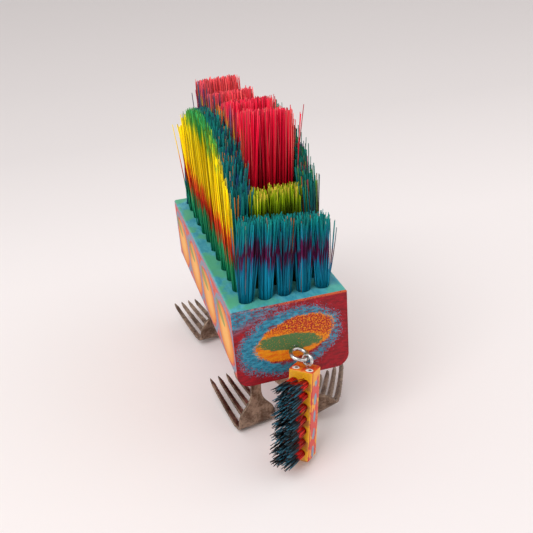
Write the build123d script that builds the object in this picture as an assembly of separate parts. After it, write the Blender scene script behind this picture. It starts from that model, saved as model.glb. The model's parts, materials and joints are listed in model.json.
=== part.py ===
from build123d import *
import os
from math import cos, radians, sin, tan

# Folk-art animal made from a cut push-broom head (bristles up) as its body, four bent
# table forks as its legs, and a small two-row brush as its hanging head.
# Millimetres. +Z is up, the head is on the -Y side, and left and right are as seen from
# the front, so left is -X. The origin is at the bottom centre of the whole figure.

# ---- body block ---------------------------------------------------------------------
BLOCK_WIDTH = 66.0
BLOCK_LENGTH = 178.0
BLOCK_HEIGHT = 49.0
BLOCK_TOP = 95.0                       # height of the block's top face above the floor
BLOCK_LOWER_EDGE_RADIUS = 8.0
BLOCK_UPPER_EDGE_RADIUS = 1.2

# ---- body tufts -----------------------------------------------------------------------
TUFT_COLUMNS = (-22.0, -11.0, 0.0, 11.0, 22.0)
TUFT_ROWS = 12
TUFT_FIRST_ROW = 10.0                  # distance of the first row from the front face
TUFT_ROW_PITCH = 14.36
TUFT_RADIUS = 3.7
TUFT_TIP_DEPTH = 6.6                   # half the tip's size from front to back
TUFT_HOLE_DEPTH = 16.0
HOLE_CLEARANCE = 0.05
END_ROW_HEIGHT = 47.0
END_ROW_SLOPE = 0.09                   # the end rows are higher on the left
END_ROW_SPAN = (-21.3, 27.3)            # left and right limits of the tips together
SECOND_ROW_HEIGHT = 58.0
# the middle tufts of rows 2 and 11, and of the four crest teeth between them:
# heights of the front row, left and right limits of the three tips together
SECOND_ROW_SPAN = (-11.2, 16.6)
CREST_FRONT_HEIGHTS = (96.0, 93.5, 94.5, 97.0)
CREST_SPANS = ((-9.6, 18.6), (-10.8, 16.2), (-13.0, 12.3), (-13.9, 10.1))
CREST_DROP = 6.0                       # how much lower the rear row of a tooth is
FLANK_HEIGHTS = (57.0, 68.0, 77.0, 83.0, 85.0, 85.0, 82.0, 77.0, 68.0, 57.0)
FLANK_OUTER = 27.5                     # where the outer strands of a flank end
TUFT_TIP_GAP = 0.3                     # between the tips of neighbouring tufts
STAPLE_LENGTH = 7.0
STAPLE_THICKNESS = 0.6
STAPLE_HEIGHT = 1.6
STAPLE_CLEARANCE = 0.03
CUT_MARGIN = 1.0                       # how far a cutting shape reaches past what it cuts

# ---- forks ------------------------------------------------------------------------------
FORK_THICKNESS = 2.0
FORK_CROWN_HALF = 12.4                 # half the width across the four tines
FORK_NECK_HALF = 3.4
FORK_SHOULDER_HEIGHT = 27.0            # where the neck starts to widen
FORK_FLARE_PULL = (14.9, 16.7)         # heights that shape the curved shoulder
FORK_CROWN_TOP = 6.5
FORK_BEND_RADIUS = 4.0                 # centreline radius where palm turns into tines
TINE_COUNT = 4
TINE_ROOT_PITCH = 7.2
TINE_TIP_PITCH = 5.8
TINE_ROOT_WIDTH = 3.9
TINE_TIP_WIDTH = 1.3
TINE_POINT = 5.0                       # length of the pointed end
TINE_LENGTH = 46.0                     # along the curve, from the end of the bend
TINE_START_ANGLE = 8.0
TINE_END_ANGLE = 16.0
SLOT_ROOT = 7.5                        # where the gaps between the tines begin
# name: (x, y, yaw, pitch, roll, neck length, unbend); x from the middle, y from the front
# face; unbend is how much less than the others the fork is bent
FORKS = {
    "front_left_fork": (-20.0, 20.5, 13.0, -1.5, 3.0, 65.0, 0.0),
    "front_right_fork": (19.1, 9.5, -15.0, 13.6, -36.0, 66.0, 33.0),
    "rear_left_fork": (-22.8, 127.8, 17.5, -1.0, 8.5, 66.0, 0.0),
    "rear_right_fork": (22.8, 127.8, -17.5, -1.0, -8.5, 66.0, 0.0),
}

# ---- screw eyes ---------------------------------------------------------------------------
BODY_EYE_RADIUS = 5.0                  # centreline radius of the ring in the block
BODY_EYE_WIRE = 1.1                    # wire radius
BODY_EYE_STUB = 1.0                    # bare wire between the ring and the wood
HEAD_EYE_RADIUS = 3.0
HEAD_EYE_WIRE = 0.95
HEAD_EYE_STUB = 1.3
EYE_GAP = 0.1                          # play between the two linked wires
SHANK_RADIUS = 1.25
BODY_SHANK_LENGTH = 15.0
HEAD_SHANK_LENGTH = 11.0
SHANK_POINT = 2.5
SHANK_POINT_RADIUS = 0.2
PILOT_CLEARANCE = 0.02
PILOT_EXTRA_DEPTH = 0.3
BODY_EYE_CENTRE = (1.6, -6.9, BLOCK_TOP - 30.4)    # y from the block's front face
BODY_EYE_ROLL = 16.0                   # its right side is lower
BODY_EYE_DROOP = 8.0                   # its outer end is lower
LINK_ANGLE = -42.0                     # where on the body ring the head ring hangs
HEAD_EYE_TURN = -18.0                  # of the head ring, from square on to that wire

# ---- head -----------------------------------------------------------------------------------
HEAD_WIDTH = 14.3
HEAD_DEPTH = 12.0
HEAD_LENGTH = 55.0
HEAD_YAW = -42.0
HEAD_TILT = 11.5                       # bottom swung towards the bristle side
HEAD_LEAN = 1.0
HEAD_EYE_SIDE = 1.3                    # screw eye sits right of the middle of the top
HEAD_EDGE = 1.2
HEAD_BOTTOM_EDGE = 1.1
HEAD_TOP_EDGE = 0.7
HEAD_TUFT_ROWS = 7
HEAD_TUFT_FIRST = 6.6
HEAD_TUFT_PITCH = 7.15
HEAD_TUFT_COLUMN = 3.2
HEAD_TUFT_RADIUS = 2.0
HEAD_TUFT_TIP_RADIUS = 2.9
HEAD_TUFT_HOLE = 4.6
HEAD_TUFT_LENGTH = 17.0
HEAD_TUFT_DROOP = 1.0
HEAD_TUFT_SWEEP = 9.0                  # towards the left
HEAD_STAPLE_LENGTH = 3.6
HEAD_STAPLE_HEIGHT = 1.0
HEAD_STAPLE_THICKNESS = 0.4

BLOCK_BOTTOM = BLOCK_TOP - BLOCK_HEIGHT


def rounded_bar(width, length, height, lower_radius, upper_radius):
    """A bar along +Y from y = 0, standing on z = 0, with its long edges rounded."""
    bar = Pos(0, length / 2, height / 2) * Box(width, length, height)
    long_edges = bar.edges().filter_by(Axis.Y).sort_by(Axis.Z)
    bar = fillet(long_edges[:2], lower_radius)
    return fillet(bar.edges().filter_by(Axis.Y).sort_by(Axis.Z)[-2:], upper_radius)


# ---- tufts ------------------------------------------------------------------------------------
def row_y(row):
    return TUFT_FIRST_ROW + TUFT_ROW_PITCH * row


def tuft_height(row, column):
    """Height above the block of one tuft: low ends, a toothed crest and two domed flanks."""
    last = TUFT_ROWS - 1
    if row in (0, last):
        return END_ROW_HEIGHT - END_ROW_SLOPE * TUFT_COLUMNS[column]
    if column in (0, len(TUFT_COLUMNS) - 1):
        return FLANK_HEIGHTS[row - 1]
    if row in (1, last - 1):
        return SECOND_ROW_HEIGHT
    tooth, rear = divmod(row - 2, 2)
    return CREST_FRONT_HEIGHTS[tooth] - CREST_DROP * rear


def middle_span(row):
    """Left and right limits of the middle tufts' tips in a row that is not an end row."""
    if row in (1, TUFT_ROWS - 2):
        return SECOND_ROW_SPAN
    return CREST_SPANS[(row - 2) // 2]


def middle_side_at(row, side, height):
    """X of the left (-1) or right (1) side of the middle tufts at a height."""
    root = side * (TUFT_COLUMNS[3] + TUFT_RADIUS)
    tip = middle_span(row)[0 if side < 0 else 1]
    return root + (tip - root) * min(height / tuft_height(row, 2), 1)


def tuft_tip(row, column):
    """X of a tuft's tip and half its width there."""
    if row in (0, TUFT_ROWS - 1):
        left, right = END_ROW_SPAN
        pitch = (right - left) / len(TUFT_COLUMNS)
        return left + pitch * (column + 0.5), (pitch - TUFT_TIP_GAP) / 2
    if column in (0, len(TUFT_COLUMNS) - 1):
        side = -1 if column == 0 else 1
        inner = middle_side_at(row, side, FLANK_HEIGHTS[row - 1]) + side * TUFT_TIP_GAP
        outer = side * FLANK_OUTER
        return (inner + outer) / 2, abs(outer - inner) / 2
    left, right = middle_span(row)
    pitch = (right - left) / 3
    return left + pitch * (column - 0.5), (pitch - TUFT_TIP_GAP) / 2


def staple_box(length, thickness, height):
    """The flat wire that a tuft is folded over, standing on z = 0."""
    return Pos(0, 0, height / 2) * Box(thickness, length, height)


def tuft(height, lean, tip_half):
    """A tuft from the bottom of its hole up: a round root and a flared, leaning brush."""
    root = Pos(0, 0, -TUFT_HOLE_DEPTH / 2) * Cylinder(TUFT_RADIUS, TUFT_HOLE_DEPTH)
    brush = loft([
        Circle(TUFT_RADIUS).face(),
        Pos(lean, 0, height) * Ellipse(tip_half, TUFT_TIP_DEPTH).face(),
    ])
    notch = Pos(0, 0, -TUFT_HOLE_DEPTH) * staple_box(
        2 * TUFT_RADIUS + CUT_MARGIN,
        STAPLE_THICKNESS + 2 * STAPLE_CLEARANCE,
        STAPLE_HEIGHT + STAPLE_CLEARANCE,
    )
    return root + brush - notch


def tuft_root(row, column):
    return Pos(TUFT_COLUMNS[column], row_y(row), BLOCK_TOP)


def placed_tuft(row, column):
    tip_x, tip_half = tuft_tip(row, column)
    lean = tip_x - TUFT_COLUMNS[column]
    return tuft_root(row, column) * tuft(tuft_height(row, column), lean, tip_half)


def tuft_rows():
    """Each row is three nodes: the left flank tuft, the three middle tufts, the right one."""
    groups = {"left": (0,), "crest": (1, 2, 3), "right": (4,)}
    nodes = {}
    for row in range(TUFT_ROWS):
        for side, columns in groups.items():
            nodes[f"tuft_row_{row + 1:02d}_{side}"] = [placed_tuft(row, c) for c in columns]
    return nodes


def body_staples():
    staple = Pos(0, 0, -TUFT_HOLE_DEPTH) * staple_box(
        STAPLE_LENGTH, STAPLE_THICKNESS, STAPLE_HEIGHT)
    columns = range(len(TUFT_COLUMNS))
    return [tuft_root(r, c) * staple for r in range(TUFT_ROWS) for c in columns]


# ---- forks ----------------------------------------------------------------------------------------
def fork_strip(neck_length, unbend):
    """The bent sheet that a fork is cut from: neck down, a tight bend, tines rising back."""
    start = radians(TINE_START_ANGLE - unbend)
    end = radians(TINE_END_ANGLE - unbend)
    curve = TINE_LENGTH / (end - start)
    bottom = FORK_THICKNESS / 2 + FORK_BEND_RADIUS
    bend_end = (
        FORK_BEND_RADIUS * (1 + sin(start)),
        bottom - FORK_BEND_RADIUS * cos(start),
    )
    tip = (
        bend_end[0] + curve * (sin(end) - sin(start)),
        bend_end[1] + curve * (cos(start) - cos(end)),
    )
    with BuildSketch(Plane.YZ) as section:
        with BuildLine():
            neck = Line((0, neck_length), (0, bottom))
            bend = TangentArc(neck @ 1, bend_end, tangent=neck % 1)
            TangentArc(bend @ 1, tip, tangent=bend % 1)
            offset(amount=FORK_THICKNESS / 2, side=Side.BOTH)
        make_face()
    return extrude(section.sketch, amount=FORK_CROWN_HALF + CUT_MARGIN, both=True)


def fork_front_outline(neck_length):
    """Neck, curved shoulders and crown, as seen along the tines."""
    inner_pull, outer_pull = FORK_FLARE_PULL
    below = -CUT_MARGIN
    with BuildSketch(Plane.XZ) as outline:
        with BuildLine():
            right = Line((FORK_NECK_HALF, neck_length), (FORK_NECK_HALF, FORK_SHOULDER_HEIGHT))
            flare = Bezier(
                right @ 1,
                (FORK_NECK_HALF, inner_pull),
                (FORK_CROWN_HALF - 1, outer_pull),
                (FORK_CROWN_HALF, FORK_CROWN_TOP),
            )
            Line(flare @ 1, (FORK_CROWN_HALF, below))
            Line((FORK_CROWN_HALF, below), (0, below))
            mirror(about=Plane.YZ)
            Line((-FORK_NECK_HALF, neck_length), (FORK_NECK_HALF, neck_length))
        make_face()
    return extrude(outline.sketch, amount=(FORK_THICKNESS + CUT_MARGIN) / 2, both=True)


def tine_outline(index, reach):
    """One tapered tine seen from above, from the crown out to its tip."""
    place = index - (TINE_COUNT - 1) / 2
    root_x = place * TINE_ROOT_PITCH
    tip_x = place * TINE_TIP_PITCH
    start = SLOT_ROOT - CUT_MARGIN
    return Polygon(
        (root_x - TINE_ROOT_WIDTH / 2, start),
        (root_x + TINE_ROOT_WIDTH / 2, start),
        (tip_x + TINE_TIP_WIDTH, reach - TINE_POINT),
        (tip_x + TINE_TIP_WIDTH / 4, reach),
        (tip_x - TINE_TIP_WIDTH / 4, reach),
        (tip_x - TINE_TIP_WIDTH, reach - TINE_POINT),
        align=None,
    )


def fork_top_outline(unbend):
    """Crown and tines seen from above, with round roots to the gaps between tines."""
    mean_angle = radians((TINE_START_ANGLE + TINE_END_ANGLE) / 2 - unbend)
    reach = FORK_BEND_RADIUS + TINE_LENGTH * cos(mean_angle)
    crown_front = -FORK_THICKNESS
    crown_back = SLOT_ROOT + CUT_MARGIN
    outline = Pos(0, (crown_back + crown_front) / 2) * Rectangle(
        2 * FORK_CROWN_HALF, crown_back - crown_front)
    for index in range(TINE_COUNT):
        outline = outline + tine_outline(index, reach)
    gap = (TINE_ROOT_PITCH - TINE_ROOT_WIDTH) / 2
    for index in range(TINE_COUNT - 1):
        gap_centre = (index - (TINE_COUNT - 2) / 2) * TINE_ROOT_PITCH
        outline = outline - Pos(gap_centre, crown_back) * Circle(gap)
    return extrude(outline, amount=FORK_SHOULDER_HEIGHT, both=True)


def fork(neck_length, unbend):
    """A table fork bent into a foot. Local origin: below the palm, under the bend."""
    strip = fork_strip(neck_length, unbend)
    neck_zone = fork_front_outline(neck_length)
    neck_gap = Box(
        4 * FORK_CROWN_HALF,
        FORK_THICKNESS + CUT_MARGIN,
        FORK_SHOULDER_HEIGHT + CUT_MARGIN,
    )
    tine_zone = fork_top_outline(unbend) - Pos(0, 0, FORK_SHOULDER_HEIGHT / 2) * neck_gap
    return strip & (neck_zone + tine_zone)


def fork_location(x, y, yaw, pitch, roll):
    turn = Rotation(0, 0, yaw) * Rotation(pitch, 0, 0) * Rotation(0, roll, 0)
    return Pos(x, y, 0) * turn


def place_fork(x, y, yaw, pitch, roll, neck_length, unbend):
    """The fork in its place, its lowest point on the floor, and its neck's mortise."""
    turned = fork_location(x, y, yaw, pitch, roll) * fork(neck_length, unbend)
    rise = Pos(0, 0, -turned.bounding_box().min.Z)
    mortise = Pos(0, 0, neck_length / 2) * Box(
        2 * FORK_NECK_HALF + 2 * HOLE_CLEARANCE,
        FORK_THICKNESS + 2 * HOLE_CLEARANCE,
        neck_length + 2 * HOLE_CLEARANCE,
    )
    return rise * turned, rise * fork_location(x, y, yaw, pitch, roll) * mortise


# ---- screw eyes --------------------------------------------------------------------------------------
def screw_eye(ring_radius, wire, stub_length, shank_length):
    """A ring in the XY plane with its shank along +Y, centred on the ring."""
    ring = Torus(ring_radius, wire)
    wood = ring_radius + wire + stub_length
    stub = Pos(0, (ring_radius + wood) / 2, 0) * Rotation(90, 0, 0) * Cylinder(
        wire, wood - ring_radius)
    shank_body = shank_length - SHANK_POINT
    shank = Pos(0, wood + shank_body / 2, 0) * Rotation(90, 0, 0) * Cylinder(
        SHANK_RADIUS, shank_body)
    point = Pos(0, wood + shank_length - SHANK_POINT / 2, 0) * Rotation(-90, 0, 0) * Cone(
        SHANK_RADIUS, SHANK_POINT_RADIUS, SHANK_POINT)
    return ring + stub + shank + point


def pilot_hole(ring_radius, wire, stub_length, shank_length):
    """The hole a screw eye's shank has made in the wood, in the eye's own frame."""
    wood = ring_radius + wire + stub_length
    depth = shank_length + PILOT_EXTRA_DEPTH
    return Pos(0, wood + (depth - CUT_MARGIN) / 2, 0) * Rotation(90, 0, 0) * Cylinder(
        SHANK_RADIUS + PILOT_CLEARANCE, depth + CUT_MARGIN)


def body_eye_plane():
    """The body ring's plane, its +Y running into the wood."""
    roll = radians(BODY_EYE_ROLL)
    droop = radians(BODY_EYE_DROOP)
    level = Vector(1, 0, 0)
    upright = Vector(0, -sin(droop), cos(droop))
    return Plane(
        origin=BODY_EYE_CENTRE,
        x_dir=level * cos(roll) - upright * sin(roll),
        z_dir=level * sin(roll) + upright * cos(roll),
    )


def head_axes():
    """The head's own directions: across, out of the bristle face, and up."""
    yaw, tilt, lean = (radians(a) for a in (HEAD_YAW, HEAD_TILT, HEAD_LEAN))
    across = Vector(cos(yaw), sin(yaw), 0)
    outward = Vector(sin(yaw), -cos(yaw), 0)
    up = Vector(0, 0, 1)
    tilted_up = up * cos(tilt) - outward * sin(tilt)
    face = outward * cos(tilt) + up * sin(tilt)
    head_up = tilted_up * cos(lean) + across * sin(lean)
    return across * cos(lean) - tilted_up * sin(lean), face, head_up


def link_point():
    """Where the head ring hangs on the body ring: wire centre, and wire direction there."""
    plane = body_eye_plane()
    angle = radians(LINK_ANGLE)
    outward = plane.x_dir * cos(angle) + plane.y_dir * sin(angle)
    point = plane.origin + outward * BODY_EYE_RADIUS
    tangent = plane.y_dir * cos(angle) - plane.x_dir * sin(angle)
    return point, tangent


def head_eye_plane():
    """The head ring's plane: its -Y runs up and its +Y down along the shank."""
    point, tangent = link_point()
    _, _, up = head_axes()
    centre = point - up * (HEAD_EYE_RADIUS - HEAD_EYE_WIRE - BODY_EYE_WIRE - EYE_GAP)
    square = (tangent - up * tangent.dot(up)).normalized()
    turn = radians(HEAD_EYE_TURN)
    normal = square * cos(turn) + up.cross(square) * sin(turn)
    return Plane(origin=centre, x_dir=(up * -1).cross(normal), z_dir=normal)


def head_plane():
    """The head's frame: centre of its top, X across, Y to its back, Z up."""
    across, _, up = head_axes()
    drop = HEAD_EYE_RADIUS + HEAD_EYE_WIRE + HEAD_EYE_STUB / 2
    foot = head_eye_plane().origin - up * drop
    return Plane(origin=foot - across * HEAD_EYE_SIDE, x_dir=across, z_dir=up)


# ---- head ----------------------------------------------------------------------------------------------
def head_tuft_roots():
    """Hole mouths on the bristle face, in the head's frame, from top to bottom."""
    for row in range(HEAD_TUFT_ROWS):
        depth = -HEAD_TUFT_FIRST - HEAD_TUFT_PITCH * row
        for side, x in (("left", -HEAD_TUFT_COLUMN), ("right", HEAD_TUFT_COLUMN)):
            yield f"head_tuft_{row + 1}_{side}", Vector(x, -HEAD_DEPTH / 2, depth)


def head_tuft():
    """A head tuft along -Y, its hole's mouth at the origin, drooping and swept aside."""
    drop = HEAD_TUFT_LENGTH * tan(radians(HEAD_TUFT_DROOP))
    sweep = HEAD_TUFT_LENGTH * tan(radians(HEAD_TUFT_SWEEP))
    mouth = Plane.XZ
    tip = Plane(origin=(-sweep, -HEAD_TUFT_LENGTH, -drop), x_dir=(1, 0, 0), z_dir=(0, -1, 0))
    root_length = HEAD_TUFT_HOLE
    root = Pos(0, root_length / 2, 0) * Rotation(90, 0, 0) * Cylinder(
        HEAD_TUFT_RADIUS, root_length)
    brush = loft([
        mouth * Circle(HEAD_TUFT_RADIUS).face(),
        tip * Circle(HEAD_TUFT_TIP_RADIUS).face(),
    ])
    notch = head_staple(STAPLE_CLEARANCE, 2 * HEAD_TUFT_RADIUS + CUT_MARGIN)
    return root + brush - notch


def head_staple(clearance=0.0, length=HEAD_STAPLE_LENGTH):
    """The wire at the bottom of a head tuft's hole, with room round it for the tuft."""
    height = HEAD_STAPLE_HEIGHT + clearance
    return Pos(0, HEAD_TUFT_HOLE - height / 2, 0) * Box(
        length, height, HEAD_STAPLE_THICKNESS + 2 * clearance)


def head_block(eye_hole):
    block = Pos(0, 0, -HEAD_LENGTH / 2) * Box(HEAD_WIDTH, HEAD_DEPTH, HEAD_LENGTH)
    block = fillet(block.edges().filter_by(Axis.Z), HEAD_EDGE)
    block = fillet(block.faces().sort_by(Axis.Z)[0].edges(), HEAD_BOTTOM_EDGE)
    block = fillet(block.faces().sort_by(Axis.Z)[-1].edges(), HEAD_TOP_EDGE)
    hole_radius = HEAD_TUFT_RADIUS + HOLE_CLEARANCE
    hole = Pos(0, (HEAD_TUFT_HOLE - CUT_MARGIN) / 2, 0) * Rotation(90, 0, 0) * Cylinder(
        hole_radius, HEAD_TUFT_HOLE + CUT_MARGIN)
    for _, mouth in head_tuft_roots():
        block = block - Pos(mouth) * hole
    return head_plane().location * block - eye_hole


# ---- the whole figure -----------------------------------------------------------------------------------
def build_figure():
    nodes = {}
    mortises = []
    for name, pose in FORKS.items():
        nodes[name], mortise = place_fork(*pose)
        mortises.append(mortise)

    body_eye = (BODY_EYE_RADIUS, BODY_EYE_WIRE, BODY_EYE_STUB, BODY_SHANK_LENGTH)
    head_eye = (HEAD_EYE_RADIUS, HEAD_EYE_WIRE, HEAD_EYE_STUB, HEAD_SHANK_LENGTH)
    body_eye_location = body_eye_plane().location
    head_eye_location = head_eye_plane().location
    nodes["body_screw_eye"] = body_eye_location * screw_eye(*body_eye)
    nodes["head_screw_eye"] = head_eye_location * screw_eye(*head_eye)

    block = Pos(0, 0, BLOCK_BOTTOM) * rounded_bar(
        BLOCK_WIDTH, BLOCK_LENGTH, BLOCK_HEIGHT, BLOCK_LOWER_EDGE_RADIUS, BLOCK_UPPER_EDGE_RADIUS)
    tuft_hole = Pos(0, 0, (CUT_MARGIN - TUFT_HOLE_DEPTH) / 2) * Cylinder(
        TUFT_RADIUS + HOLE_CLEARANCE, TUFT_HOLE_DEPTH + CUT_MARGIN)
    for row in range(TUFT_ROWS):
        for column in range(len(TUFT_COLUMNS)):
            block = block - tuft_root(row, column) * tuft_hole
    for mortise in mortises:
        block = block - mortise
    block = block - body_eye_location * pilot_hole(*body_eye)
    nodes["body_block"] = block

    nodes.update(tuft_rows())
    nodes["body_tuft_staples"] = body_staples()

    nodes["head_block"] = head_block(head_eye_location * pilot_hole(*head_eye))
    head_location = head_plane().location
    one_tuft = head_tuft()
    for name, mouth in head_tuft_roots():
        nodes[name] = head_location * Pos(mouth) * one_tuft
    nodes["head_tuft_staples"] = [
        head_location * Pos(mouth) * head_staple() for _, mouth in head_tuft_roots()]
    return nodes


def solids_of(shape):
    if isinstance(shape, list):
        return [solid for piece in shape for solid in piece.solids()]
    return shape.solids()


def main():
    nodes = {name: solids_of(shape) for name, shape in build_figure().items()}
    box = Compound([s for solids in nodes.values() for s in solids]).bounding_box()
    centre = box.center()
    to_origin = Pos(-centre.X, -centre.Y, -box.min.Z)
    os.makedirs("parts", exist_ok=True)
    for name, solids in nodes.items():
        moved = [to_origin * solid for solid in solids]
        shape = moved[0] if len(moved) == 1 else Compound(moved)
        export_step(shape, f"parts/{name}.step")

    pivot, wire = link_point()
    _, _, head_up = head_axes()
    print("origin shift", to_origin.position)
    print("size", box.size)
    print("head swing pivot", to_origin.position + pivot, "axis", wire * -1)
    print("head turn pivot", to_origin.position + head_eye_plane().origin, "axis", head_up)


main()
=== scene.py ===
import json
import math

import bpy
import numpy as np
from mathutils import Matrix, Vector


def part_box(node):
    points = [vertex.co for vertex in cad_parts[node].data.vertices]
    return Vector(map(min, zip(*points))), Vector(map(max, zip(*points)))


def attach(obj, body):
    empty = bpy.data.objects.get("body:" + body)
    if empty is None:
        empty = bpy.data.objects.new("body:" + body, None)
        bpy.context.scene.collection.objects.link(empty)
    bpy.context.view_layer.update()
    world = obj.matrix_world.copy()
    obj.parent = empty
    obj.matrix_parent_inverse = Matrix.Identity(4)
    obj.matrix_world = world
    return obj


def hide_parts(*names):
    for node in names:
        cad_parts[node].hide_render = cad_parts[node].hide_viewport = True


# A folk-art animal: a painted broom head with its bristles up, four bent forks as legs,
# and a small hanging brush as its head. Lengths are in millimetres unless a comment says
# otherwise, and MILLIMETRE turns them into the frame's metres.

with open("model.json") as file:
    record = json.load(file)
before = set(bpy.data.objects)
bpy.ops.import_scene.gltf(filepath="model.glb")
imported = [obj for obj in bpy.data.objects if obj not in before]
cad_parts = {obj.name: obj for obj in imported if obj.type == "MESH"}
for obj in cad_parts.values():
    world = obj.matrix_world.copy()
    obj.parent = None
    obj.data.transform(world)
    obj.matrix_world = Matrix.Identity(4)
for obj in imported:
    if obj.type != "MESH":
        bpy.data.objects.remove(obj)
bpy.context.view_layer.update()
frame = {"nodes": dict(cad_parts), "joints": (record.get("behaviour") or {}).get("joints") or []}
JOINTS = {joint["name"]: joint for joint in frame["joints"]}
MILLIMETRE = 0.001
rng = np.random.default_rng(7)

# ---- block
BLOCK_LOW, BLOCK_HIGH = (Vector(corner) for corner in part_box("body_block"))
# middle of the block's front top edge: the body's own reference point
FRONT_TOP = Vector(((BLOCK_LOW.x + BLOCK_HIGH.x) / 2, BLOCK_LOW.y, BLOCK_HIGH.z))
BLOCK_LENGTH = (BLOCK_HIGH.y - BLOCK_LOW.y) / MILLIMETRE
BLOCK_HEIGHT = (BLOCK_HIGH.z - BLOCK_LOW.z) / MILLIMETRE

# ---- body tufts
TUFT_COLUMNS = (-22.0, -11.0, 0.0, 11.0, 22.0)
TUFT_ROWS = 12
FIRST_ROW = 10.0
ROW_PITCH = 14.36
TUFT_RADIUS = 3.5
TUFT_ROOT_DEPTH = 4.0
STRANDS_PER_TUFT = 130
STRAND_RADIUS = 0.29
STRAND_THICKNESS = (0.8, 1.15)
STRAND_BEND = 1.8
# a tuft's tips reach this much past its own share across, and this far front and back
TIP_OVERLAP = 1.08
TIP_HALF_DEPTH = 6.7
TIP_SCATTER = 1.1
# most strands are cut at the trimmed height, and some stay shorter
TRIM_SCATTER = 0.7
TRIM_SHORTFALL = 1.5
# a few strands of every tuft stand loose
LOOSE_SHARE = 0.02
LOOSE_SCATTER = 3.0
LOOSE_RISE = (-6.0, 2.0)
# left and right limits of the tips: all five tufts of an end row, then the three middle
# tufts of row 2 and of the four crest teeth
END_ROW_SPAN = (-21.3, 27.3)
SECOND_ROW_SPAN = (-11.2, 16.6)
CREST_SPANS = ((-7.0, 19.4), (-9.6, 16.6), (-12.2, 12.3), (-13.2, 10.1))
# start y, height there, and how much higher the tooth is towards the left
CREST_TEETH = (
    (34.0, 97.2, 0.10), (62.5, 96.0, 0.0), (91.5, 95.0, 0.0), (120.0, 97.4, 0.0))
TALLEST = 97.8
TOOTH_SLOPE = 0.27
SECOND_ROW_HEIGHT = 56.6
END_ROW_HEIGHT = 45.6
END_ROW_SLOPE = 0.115
LEFT_OUTER = -25.2
RIGHT_OUTER = 26.0
DOME_TOP = 85.3
DOME_MIDDLE = 89.0
DOME_CURVE = 0.00535
FLANK_LOWEST = 55.0
# (row, column): how many strands have come loose, and how far their tips lean
STRAYS = {
    (0, 4): (8, 6.0, -1.0),
    (1, 4): (4, 3.0, 0.0),
    (2, 3): (9, 4.5, -1.5),
    (3, 3): (6, 5.0, 1.0),
    (6, 0): (4, -4.0, 0.0),
    (8, 0): (4, -4.0, 0.0),
    (10, 0): (5, -7.0, -1.0),
}
STRAY_REACH = (0.4, 1.1)
STRAY_SHORTER = 9

# ---- head: it hangs below the head_turn joint, which is at its eye's ring centre
HEAD_YAW = -42.0
HEAD_TILT = 11.5
HEAD_LEAN = 1.0
HEAD_DEPTH = 12.0
HEAD_LENGTH = 55.0
HEAD_EYE_DROP = 4.6
HEAD_EYE_SIDE = 1.3
HEAD_TUFT_ROWS = 7
HEAD_TUFT_FIRST = 6.6
HEAD_TUFT_PITCH = 7.15
HEAD_TUFT_COLUMN = 3.2
HEAD_TUFT_RADIUS = 1.95
HEAD_TUFT_LENGTH = 16.5
HEAD_TUFT_DROOP = 1.0
HEAD_TUFT_SWEEP = 9.0
HEAD_TUFT_ROOT_DEPTH = 2.0
HEAD_TUFT_SPLAY = 1.65
HEAD_SPLAY_SCATTER = 0.25
HEAD_TIP_SCATTER = 0.7
HEAD_TRIM_SHORTFALL = 0.9
HEAD_STRANDS = 40
HEAD_STRAND_RADIUS = 0.33
HEAD_STRAND_THICKNESS = (0.85, 1.15)
# across the head, along the strand and up
HEAD_STRAND_BEND = (1.0, 0.2, 1.0)
# painted eyes on the head's top: centres, then radius and height of each dot
EYE_ACROSS = (("left", -4.1), ("right", 4.0))
EYE_BACK = -2.9
EYE_WHITE_SIZE = (2.2, 0.22)
PUPIL_SIZE = (0.95, 0.14)
PUPIL_SHIFT = (0.3, -0.1, 0.17)

# ---- worn metal edges: voxel size, and how many times it is smoothed
FORK_WEAR = (0.42, 7)
WIRE_WEAR = (0.16, 4)

# ---- camera and stage
CAMERA_FROM_FRONT_TOP = (-94.8, -342.7, 200.0)
CAMERA_AZIMUTH = -13.72
CAMERA_ELEVATION = 26.6
CAMERA_ROLL = -4.78
CAMERA_LENS = 51.0
FLOOR_NEAR = (0.915, 0.865, 0.857)
# painted shade: how much darker the floor's colour is painted with distance towards the back
FLOOR_FADE = ((200, 1.0), (370, 0.94), (600, 0.87), (1000, 0.84), (1650, 0.83))
FLOOR_FADE_END = 2000
FLOOR_HALF_SIZE_M = 6.0
SKY_COLOUR = (1.0, 0.975, 0.97, 1)
SKY_STRENGTH = 0.74
# name, place in metres, size in metres, watts
SOFTBOXES = (
    ("key", (-1.1, -0.9, 1.9), 1.4, 22.0),
    ("fill", (1.5, -0.6, 1.3), 1.6, 4.0))
SOFTBOX_AIM_M = (0, 0, 0.08)


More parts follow.
